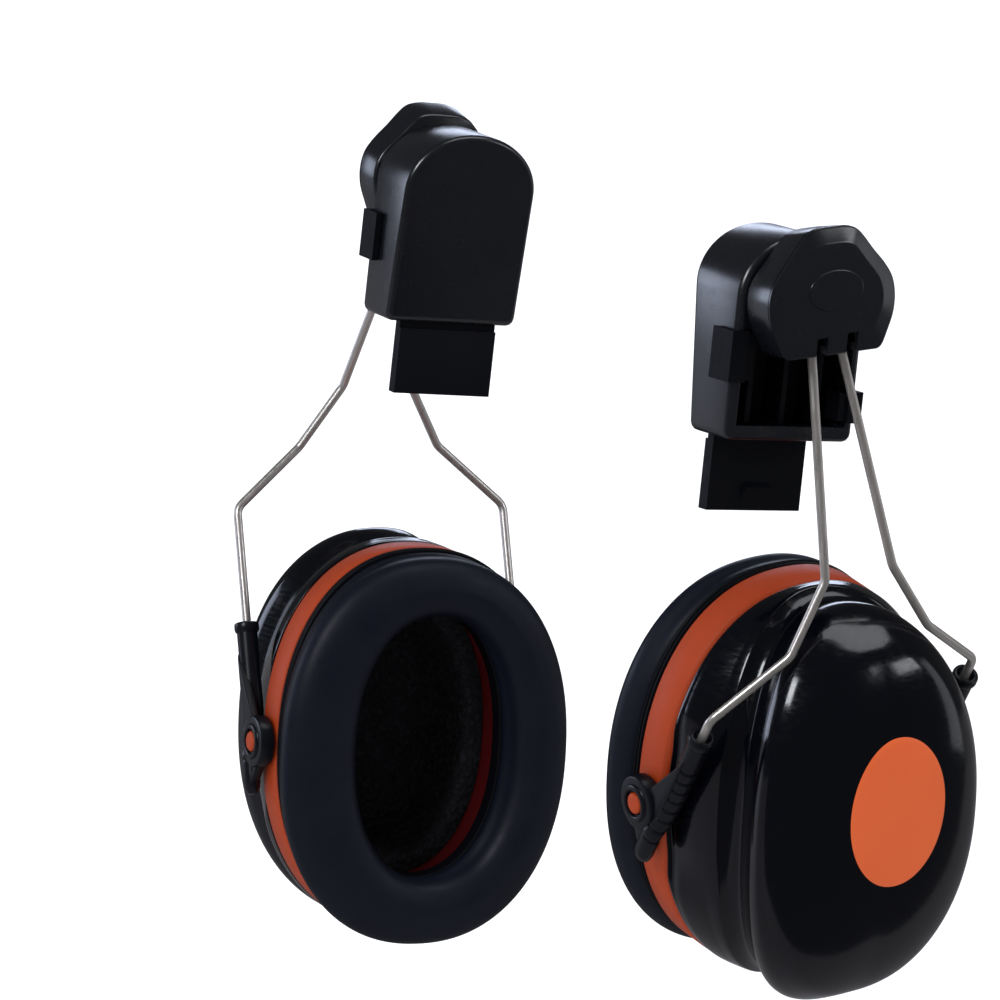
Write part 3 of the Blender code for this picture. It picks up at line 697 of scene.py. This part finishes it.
def make_ear_cushion():
    """Ring cushion: soft skin over foam, its top a little low and its opening a little back."""
    root, lip, face = -3.2, -6.8, -17.1
    keys = [
        (root, 2.0, 0), (-4.0, 0.2, 0), (-5.8, -1.2, 0), (-8.2, -2.1, 0), (-11, -2.3, 0),
        (-14.0, -0.9, 0), (-16.2, 2.6, 0), (face, 7.6, 0), (-16.4, 12.4, 0), (-14.4, 16.2, 0),
        (-11, 18.0, 0), (-8.6, 18.1, 0), (-7.0, 17.1, 0), (-6.9, 15.6, 0), (-6.6, 9.0, 0),
        (root, 8.0, 0),
    ]
    rings = []
    for n, inwards, _ in smooth_curve(keys, 2, closed=True):
        inner_side = min(1.0, max(0.0, (inwards - 5.0) / 6.0))
        sunk = min(1.0, max(0.0, (root - n) / 4.0)) * (1 - inner_side)
        moved = min(1.0, max(0.0, (lip - n) / 4.0)) * inner_side
        half_height = BAND_HALF_HEIGHT - inwards + CUSHION_SINK[0] * sunk
        ring = cup_ring(n, BAND_HALF_WIDTH - inwards, half_height, CUSHION_COUNT)
        shift = Vector((0, OPENING_SHIFT[0] * moved, CUSHION_SINK[1] * sunk + OPENING_SHIFT[1] * moved))
        rings.append([p + shift for p in ring])
    return skin("ear_cushion", [rings + [rings[0]]])


def filled(obj):
    """Let the foam press the skin out, as cloth held where it is clamped to the plate."""
    scene = bpy.context.scene
    obj.data.transform(Matrix.Scale(MM, 4))
    start = [v.co.copy() for v in obj.data.vertices]
    clamped = obj.vertex_groups.new(name="clamped")
    clamped.add([v.index for v in obj.data.vertices if v.co.x > -5.2 * MM], 1.0, "REPLACE")
    cloth = obj.modifiers.new("skin", "CLOTH")
    cloth.settings.quality = 6
    cloth.settings.mass = 0.2
    cloth.settings.tension_stiffness = 25
    cloth.settings.compression_stiffness = 25
    cloth.settings.bending_stiffness = 2.0
    cloth.settings.vertex_group_mass = "clamped"
    cloth.settings.use_pressure = True
    cloth.settings.uniform_pressure_force = FOAM_PRESSURE
    cloth.settings.effector_weights.gravity = 0
    cloth.point_cache.frame_start = 1
    cloth.point_cache.frame_end = CLOTH_FRAMES
    for step in range(1, CLOTH_FRAMES + 1):
        scene.frame_set(step)
    freeze(obj)
    scene.frame_set(1)
    for vertex, before in zip(obj.data.vertices, start):
        moved = vertex.co - before
        if moved.length > SKIN_TRAVEL * MM:
            vertex.co = before + moved.normalized() * SKIN_TRAVEL * MM
    finer = obj.modifiers.new("finer", "SUBSURF")
    finer.levels = finer.render_levels = 2
    freeze(obj)
    obj.data.transform(Matrix.Scale(1 / MM, 4))
    return obj


# ---------------------------------------------------------------- yoke wire and arms

def yoke_path():
    lean = math.radians(TUBE_LEAN)
    down = Vector((-math.sin(lean), 0, -math.cos(lean)))
    leg = [Vector(p) for p in WIRE_LEG]
    leg.append(leg[-1] + down * WIRE_STRAIGHT)
    slope = (leg[1] - leg[0]) / (leg[1] - leg[0]).z
    top = leg[0] + slope * WIRE_LOOP_HEIGHT
    rear = rounded_path([top] + leg[1:], WIRE_BEND)
    loop = []
    for i in range(1, 16):
        angle = math.pi * i / 16
        loop.append(Vector((top.x, -top.y * math.cos(angle), top.z + top.y * math.sin(angle))))
    front = [Vector((p.x, -p.y, p.z)) for p in reversed(rear)]
    return front + loop + rear


def make_wire_yoke():
    return tube("wire_yoke", even_points(yoke_path(), 2.0), WIRE_RADIUS)


def make_arm(name, side):
    """Tube with an open mouth and grooves, a web and a pierced boss round the stud."""
    lip = [(0.0, 42.9, 3.1, 3.1), (0.25, 42.9, 3.5, 3.5), (0.7, 42.9, 3.65, 3.65)]
    collar = [(2.2, 42.9, 3.65, 3.65), (2.8, 42.9, 3.4, 3.4), (3.1, 42.9, 3.05, 3.05)]
    barrel = [(26, 42.9, 3.0, 3.0), (34.5, 43.7, 3.0, 3.1), (39.5, 45.4, 2.5, 3.2)]
    tip = [(47.5, 45.4, 2.5, 3.2), (49.6, 45.4, 2.1, 2.8), (50.8, 45.4, 1.3, 1.8), (51.1, 45.4, 0.5, 0.8)]
    sections = lip + collar + barrel + tip

    def section_at(down):
        for before, after in zip(sections, sections[1:]):
            if down <= after[0]:
                t = (down - before[0]) / (after[0] - before[0])
                return [a + (b - a) * t for a, b in zip(before[1:], after[1:])]
        return sections[-1][1:]

    grooves = [13.0 + GROOVE_PITCH * k for k in range(8)]
    along_ribs = {i * 0.25 for i in range(48, 180)}
    downs = sorted({s[0] for s in sections} | along_ribs | {i * 1.0 for i in range(4, 12)})
    rings = []
    for down in downs:
        middle, half_thick, half_wide = section_at(down)
        nearest = min(abs(down - g) for g in grooves)
        cut = GROOVE_DEPTH * max(0.0, 1 - (nearest / GROOVE_HALF_WIDTH) ** 2)
        ring = []
        for i in range(48):
            angle = 2 * math.pi * i / 48
            open_side = min(1.0, max(0.0, math.sin(angle) * 1.2 + 0.75))
            depth = 1 - cut * open_side / 3.0
            across = half_wide * math.sin(angle) * depth
            outwards = middle + half_thick * math.cos(angle) * depth
            ring.append(Vector((across, side * outwards, -down)))
        rings.append(ring)
    arm = skin(name, [rings], caps=[rings[0], rings[-1]])
    web = [
        (0.6, -9.0), (-PIVOT_ACROSS + 1.0, -PIVOT_DOWN + 6.5), (-PIVOT_ACROSS, -PIVOT_DOWN - 7.0),
        (0.6, -50.0),
    ]
    low, high = sorted((side * (BOSS_INNER + 0.5), side * (BOSS_OUTER - 1.2)))
    combine(arm, "UNION", bevel(plate("web", web, low, high, facing="y"), 0.5))
    pivot = (-PIVOT_ACROSS, 0, -PIVOT_DOWN)
    profile = [(BOSS_INNER, 0.01), (BOSS_INNER, BOSS_RADIUS - 0.4), (BOSS_INNER + 0.4, BOSS_RADIUS)]
    profile += [(BOSS_OUTER - 0.7, BOSS_RADIUS), (BOSS_OUTER - 0.2, BOSS_RADIUS - 0.25)]
    profile += [(BOSS_OUTER, BOSS_RADIUS - 0.8), (BOSS_OUTER, 5.35), (BOSS_OUTER + 0.15, 5.2)]
    profile += [(48.25, 5.1), (48.45, 4.8), (48.45, 4.1), (48.3, 3.8)]
    profile += [(BOSS_OUTER - 0.1, 3.6), (BOSS_OUTER - 0.1, 0.01)]
    combine(arm, "UNION", revolve("boss", profile, pivot, (0, side, 0), sides=64))
    hole_radius = STUD_RADIUS + 0.25
    hole = rod("hole", (pivot[0], side * 40, pivot[2]), (pivot[0], side * 52, pivot[2]), hole_radius)
    wire_y = side * WIRE_LEG[-1][1]
    bore = rod("bore", (0, wire_y, 4), (0, wire_y, -36), WIRE_RADIUS + 0.35)
    mouth = rod("mouth", (0, wire_y, -2.2), (0, wire_y, 0.6), WIRE_RADIUS + 0.35, 2.9)
    return combine(arm, "DIFFERENCE", hole, bore, mouth)


# ---------------------------------------------------------------- swivel head and bracket

def head_outline():
    """The bell outline with round lobes and a straight foot."""
    whole = mirrored_outline(HEAD_OUTLINE)
    count = len(HEAD_OUTLINE)
    curve = smooth_curve([(*p, 0) for p in whole[-count + 1:] + whole[:count]], 5)
    return [(p.x, p.y) for p in curve]


def scaled(outline, across, up, down):
    return [(y * across, z * (up if z > 0 else down)) for y, z in outline]


def rolled(outline, degrees):
    """Turn an outline so that its top leans back."""
    c = math.cos(math.radians(degrees))
    s = math.sin(math.radians(degrees))
    return [(y * c + z * s, z * c - y * s) for y, z in outline]


def make_head_housing():
    outline = head_outline()
    levels = [(HEAD_BACK, 0.96), (HEAD_BACK + 0.3, 0.985), (HEAD_BACK + 0.9, 1.0), (-1.0, 1.0)]
    rings = []
    for x, size in levels:
        crown = HEAD_CROWN + (1 - HEAD_CROWN) * (x - HEAD_BACK) / (-1.0 - HEAD_BACK)
        level = rolled(scaled(outline, size, size * crown, size), HEAD_ROLL)
        rings.append([Vector((x, y, z)) for y, z in level])
    housing = skin("head_housing", [rings], caps=[rings[0], rings[-1]])
    inner = rolled(scaled(outline, 0.88, 0.88 * HEAD_CROWN, 0.86), HEAD_ROLL)
    combine(housing, "DIFFERENCE", plate("pocket", inner, HEAD_BACK + 1.8, 2.0))
    for side in (-1, 1):
        low, high = sorted((side * 9.8, side * 12.2))
        combine(housing, "UNION", box("ear", (HEAD_BACK + 1.0, low, -7.0), (-1.5, high, 1.0)))
        near, far = side * NOTCH_Y - 2.3, side * NOTCH_Y + 2.3
        slot = box("slot", (HEAD_BACK + 1.5, near, -18), (2, far, -11.6))
        combine(housing, "DIFFERENCE", slot)
    bearing = rod("bearing", (HINGE[0], -14, HINGE[2]), (HINGE[0], 14, HINGE[2]), 1.9, sides=32)
    axle = rod("axle_hole", (-20, 0, 0), (-5, 0, 0), 2.3, sides=32)
    sink = rod("sink", (HEAD_BACK - 0.2, 0, 0), (-9.0, 0, 0), 2.2, 5.1, sides=32)
    return combine(housing, "DIFFERENCE", bearing, axle, sink)


def make_head_cover():
    outline = head_outline()
    levels = [
        (-0.7, 1.0, 1.0, 1.0), (-0.25, 1.0, 1.0, 1.0), (0.0, 0.985, 0.985, 0.985),
        (0.12, 0.97, 0.97, 0.97), (1.45, 0.775, 0.80, 0.66), (1.62, 0.755, 0.785, 0.635),
        (1.7, 0.73, 0.77, 0.61),
    ]
    rings = []
    for x, *sizes in levels:
        level = rolled(scaled(outline, *sizes), HEAD_ROLL)
        rings.append([Vector((x, y, z)) for y, z in level])
    cover = skin("head_cover", [rings], caps=[rings[0], rings[-1]])
    for side in (-1, 1):
        near, far = side * NOTCH_Y - NOTCH_WIDTH / 2, side * NOTCH_Y + NOTCH_WIDTH / 2
        notch = box("notch", (-3, near, -18), (4, far, NOTCH_TOP))
        combine(cover, "DIFFERENCE", notch)
    return cover


def make_cap_pad():
    """Plain raised oval on the cap."""
    rings = []
    for x, size in ((1.5, 1.0), (1.85, 1.0), (2.0, 0.985), (2.08, 0.95), (2.1, 0.9)):
        ring = []
        for i in range(72):
            angle = 2 * math.pi * i / 72
            up = PAD_LIFT + PAD_SIZE[1] * size * math.sin(angle)
            ring.append((PAD_SIZE[0] * size * math.cos(angle), up))
        rings.append([Vector((x, y, z)) for y, z in rolled(ring, HEAD_ROLL)])
    return skin("cap_pad", [rings], caps=[rings[0], rings[-1]])


def hood_outline(inwards=0.0, foot=HOOD_BOTTOM):
    """An arch on straight sides, with rounded corners at its foot."""
    half_width = HOOD_HALF_WIDTH - inwards
    rise = HOOD_TOP - HOOD_SHOULDER - inwards
    arch = []
    for degrees in range(0, 91, 5):
        angle = math.radians(degrees)
        arch.append((half_width * math.sin(angle), HOOD_SHOULDER + rise * math.cos(angle)))
    corner = [
        (half_width, foot + 2.4), (half_width - 0.35, foot + 1.2), (half_width - 1.2, foot + 0.35),
        (half_width - 2.4, foot),
    ]
    return mirrored_outline(arch + corner)


def behind_helmet(name, distance):
    """Everything nearer the head than a plane at this distance from the hood's back."""
    high, low = 30, -70
    slope = [(HOOD_BACK + distance - HOOD_SLOPE * z, z) for z in (high, low)]
    return plate(name, [(-90, high), slope[0], slope[1], (-90, low)], -60, 60, facing="y")


def lean_back(obj):
    obj.data.transform(turned("X", -HOOD_ROLL))
    return obj


def make_bracket_housing():
    hood = plate("bracket_housing", hood_outline(), -42, HOOD_FRONT)
    combine(hood, "DIFFERENCE", behind_helmet("back", 0))
    bevel(hood, 1.9, 5, 50)
    room = hood_outline(HOOD_WALL, HOOD_BOTTOM + FLOOR_WALL)
    cavity = plate("cavity", room, -42, HOOD_FRONT - HOOD_WALL)
    combine(cavity, "DIFFERENCE", behind_helmet("back_wall", HOOD_WALL))
    reach = HOOD_HALF_WIDTH - HOOD_WALL - 0.4
    window = box("window", (-18, -reach, HOOD_BOTTOM + FLOOR_WALL + 0.3), (0, reach, WINDOW_TOP))
    axle = rod("axle_hole", (-25, 0, 0), (0, 0, 0), 2.3, sides=32)
    slot = box("blade_slot", (PLATE_BACK - 0.4, -15.5, -50), (PLATE_FRONT + 0.4, 15.5, -30))
    combine(hood, "DIFFERENCE", cavity, window, axle, slot)
    return lean_back(bevel(hood, 0.35, 2, 40))


def make_helmet_adapter():
    floor_top = HOOD_BOTTOM + FLOOR_WALL
    front = PLATE_FRONT - 0.2
    adapter = box("helmet_adapter", (PLATE_BACK, -16, floor_top + 0.3), (PLATE_FRONT, 16, -8))
    neck = box("neck", (PLATE_BACK, -15, HOOD_BOTTOM - 3), (PLATE_FRONT, 15, floor_top + 1))
    blade = box("blade", (PLATE_BACK - 1.0, -15, BLADE_END), (PLATE_FRONT, 15, HOOD_BOTTOM - 2))
    barb = plate("barb", [(front, -54), (front + 1.8, -55.5), (front, -59.5)], -4, 4, facing="y")
    ribs = [
        box("rib", (front, y - 0.8, floor_top + 0.6), (front + 9, y + 0.8, -10)) for y in (-11, 0, 11)
    ]
    combine(adapter, "UNION", neck, blade, barb, *ribs)
    wall = HOOD_HALF_WIDTH - HOOD_WALL
    for side, (low, high, reach, proud, wrap) in CLIP_EARS.items():
        near, far = sorted((side * (wall - 0.8), side * reach))
        ear = box("ear", (HOOD_FRONT - wrap, near, low), (HOOD_FRONT + proud, far, high))
        wall_near, wall_far = sorted((side * (wall - 0.7), side * (HOOD_HALF_WIDTH + 0.3)))
        hood_wall = box("wall", (-40, wall_near, low - 5), (HOOD_FRONT + 0.3, wall_far, high + 5))
        combine(ear, "DIFFERENCE", hood_wall)
        link_near, link_far = sorted((side * 14.6, side * (wall - 0.7)))
        link_top = min(high, WINDOW_TOP) - 0.6
        link_front = HOOD_FRONT + proud - 0.9
        link = box("link", (front, link_near, low + 0.4), (link_front, link_far, link_top))
        combine(ear, "UNION", link)
        combine(adapter, "UNION", ear)
    return lean_back(bevel(adapter, 0.35, 2))


# ---------------------------------------------------------------- camera, light and floor

def make_camera():
    azimuth = math.radians(CAMERA_AZIMUTH)
    elevation = math.radians(CAMERA_ELEVATION)
    level = math.cos(elevation)
    back = Vector((math.sin(azimuth) * level, -math.cos(azimuth) * level, math.sin(elevation)))
    data = bpy.data.cameras.new("camera")
    data.sensor_width = 36
    data.lens = CAMERA_LENS
    data.shift_x = CAMERA_SHIFT
    data.clip_start = 0.05
    data.clip_end = 200
    camera = bpy.data.objects.new("camera", data)
    camera.location = Vector((0, 0, CAMERA_TARGET_Z)) + back * CAMERA_DISTANCE
    camera.rotation_euler = (-back).to_track_quat("-Z", "Y").to_euler()
    bpy.context.scene.collection.objects.link(camera)
    bpy.context.scene.camera = camera


def area_light(name, place, size, power, colour):
    """A soft box that looks at the middle of the object and that the camera doesn't see."""
    data = bpy.data.lights.new(name, "AREA")
    data.shape = "RECTANGLE"
    data.size, data.size_y = size
    data.energy = power
    data.color = colour
    light = bpy.data.objects.new(name, data)
    light.location = place
    light.rotation_euler = (Vector(LIGHT_TARGET) - Vector(place)).to_track_quat("-Z", "Y").to_euler()
    light.visible_camera = False
    bpy.context.scene.collection.objects.link(light)


def make_card():
    """A white card on the floor behind the object, seen only in its reflections."""
    bpy.ops.mesh.primitive_plane_add(size=1, location=(-0.9, 0.4, FLOOR_LEVEL + 0.003))
    card = bpy.context.object
    card.name = "card"
    card.scale = (2.1, 3.4, 1)
    made, tree, shader = shader_material("white_card")
    grain = noise_of(tree, 3, 2)
    shader.inputs["Base Color"].default_value = (0, 0, 0, 1)
    shader.inputs["Emission Color"].default_value = (0.95, 0.93, 1.0, 1)
    glow = ramp_between(tree, grain.outputs["Fac"], 0.17, 0.25)
    tree.links.new(glow, shader.inputs["Emission Strength"])
    card.data.materials.append(made)
    card.visible_camera = False
    card.visible_diffuse = False
    card.visible_shadow = False


def make_studio():
    """White backdrop that the object hardly mirrors, pale floor and six soft boxes."""
    world = bpy.data.worlds.new("studio")
    world.use_nodes = True
    tree = world.node_tree
    background = tree.nodes["Background"]
    background.inputs["Color"].default_value = (1, 1, 1, 1)
    rays = tree.nodes.new("ShaderNodeLightPath")
    dimmed = ramp_between(tree, rays.outputs["Is Glossy Ray"], BACKDROP_SEEN, BACKDROP_MIRRORED)
    tree.links.new(dimmed, background.inputs["Strength"])
    bpy.context.scene.world = world
    bpy.ops.mesh.primitive_plane_add(size=60, location=(0, 0, FLOOR_LEVEL))
    floor = bpy.context.object
    floor.name = "floor"
    floor.visible_glossy = False
    made, tree, shader = shader_material("pale_floor")
    grain = noise_of(tree, 30, 2)
    pale = mix_colours(tree, grain.outputs["Fac"], (0.90, 0.90, 0.905), (0.94, 0.94, 0.94))
    tree.links.new(pale, shader.inputs["Base Color"])
    shader.inputs["Roughness"].default_value = 0.9
    floor.data.materials.append(made)
    cool = (0.92, 0.95, 1.0)
    blue = (0.72, 0.80, 1.0)
    area_light("top", (0.35, 0.6, 1.8), (0.8, 1.5), 10, cool)
    area_light("right_front", (1.3, 1.5, 0.8), (0.8, 0.35), 4, cool)
    area_light("left_key", (0.6, -1.5, 1.1), (0.55, 0.6), 16, cool)
    area_light("behind_left", (-1.7, -1.3, 0.2), (0.8, 0.7), 6.5, blue)
    area_light("right_strip", (0.6, 2.3, 0.1), (0.6, 1.6), 2.5, cool)
    area_light("back", (-1.75, 1.0, 0.45), (0.7, 0.5), 4, blue)
    make_card()


def build():
    black = moulded_plastic("black_plastic", (0.0025, 0.003, 0.005), (0.004, 0.005, 0.008), 0.25, 0.8)
    arm_black = moulded_plastic("arm_plastic", (0.0018, 0.0022, 0.004), (0.003, 0.0036, 0.006), 0.3, 0.3)
    insert = moulded_plastic(
        "insert_plastic", (0.0014, 0.0017, 0.0035), (0.0022, 0.0026, 0.005), 0.55, 0.14,
    )
    gloss = glossy_shell("gloss_shell", (0.0006, 0.0008, 0.002), (0.001, 0.0013, 0.003), 0.12)
    orange = moulded_plastic("orange_plastic", (0.23, 0.025, 0.004), (0.28, 0.033, 0.005), 0.5, 0.16)
    # Darker red copy of the orange for the cup's inner wall: painted shade standing in for the shadow
    # inside the cup
    painted_shade = moulded_plastic("orange_painted_shade", (0.055, 0.002, 0.003), (0.075, 0.003, 0.004), 0.5, 0.2)
    badge = moulded_plastic("badge_orange", (0.48, 0.070, 0.010), (0.52, 0.080, 0.013), 0.5, 0.3)
    skin_material = soft_skin("cushion_skin", (0.0022, 0.0036, 0.009), (0.0034, 0.005, 0.012), 0.46)
    foam = open_foam("foam", (0.002, 0.0025, 0.005), (0.014, 0.016, 0.026))
    wire = bare_metal("wire_steel", (0.64, 0.60, 0.57), (0.74, 0.70, 0.67), 0.36, (1, 1, 0.12), 0.91)
    zinc = bare_metal("zinc_steel", (0.55, 0.54, 0.52), (0.63, 0.62, 0.60), 0.32)
    grey = moulded_plastic("grey_plastic", (0.24, 0.24, 0.25), (0.29, 0.29, 0.30), 0.45)
    shell = make_outer_shell()
    dress(make_badge(shell), "badge", "cup", badge)
    dress(shell, "shell", "cup", gloss, ["outer_shell"])

    # Faces within the band's opening, the cup's inner wall, get the painted-shade orange
    def gets_painted_shade(centre):
        across = abs(centre.y) / (BAND_HALF_WIDTH - 8)
        up = abs(centre.z) / (BAND_HALF_HEIGHT - 8)
        return across ** 2 + up ** 2 < 1

    cup = make_inner_cup()
    dress(cup, "cup_orange", "cup", orange, ["inner_cup"], painted_shade=(painted_shade, gets_painted_shade))
    for name, side in (("front", -1), ("rear", 1)):
        dress(make_stud(side), f"{name}_stud", "cup", orange)
        arm = make_arm(f"{name}_arm", side)
        dress(arm, f"arm_{name}", "stirrup", arm_black, [f"{name}_arm"])
    dress(make_foam_liner(), "foam", "cup", foam, ["foam_liner"])
    dress(make_cushion_plate(), "plate", "cup", insert, ["cushion_plate"])
    pad = filled(make_ear_cushion())
    cushions = dress(pad, "cushion", "cup", skin_material, ["ear_cushion"], sharp=60)
    dress(make_wire_yoke(), "wire", "yoke", wire, ["wire_yoke"])
    dress(make_head_housing(), "head_body", "head", black, ["head_housing"])
    dress(make_head_cover(), "head_cap", "head", black, ["head_cover"])
    dress(make_cap_pad(), "cap_pad", "head", black)
    dress(make_bracket_housing(), "hood", "bracket", black, ["bracket_housing"])
    adapter = make_helmet_adapter()
    dress(adapter, "adapter", "bracket", insert, ["helmet_adapter"])
    for node in ("swivel_screw", "swivel_nut", "friction_washer", "swing_spring"):
        paint(node, zinc)
    paint("rocker", grey)


make_camera()
make_studio()
build()
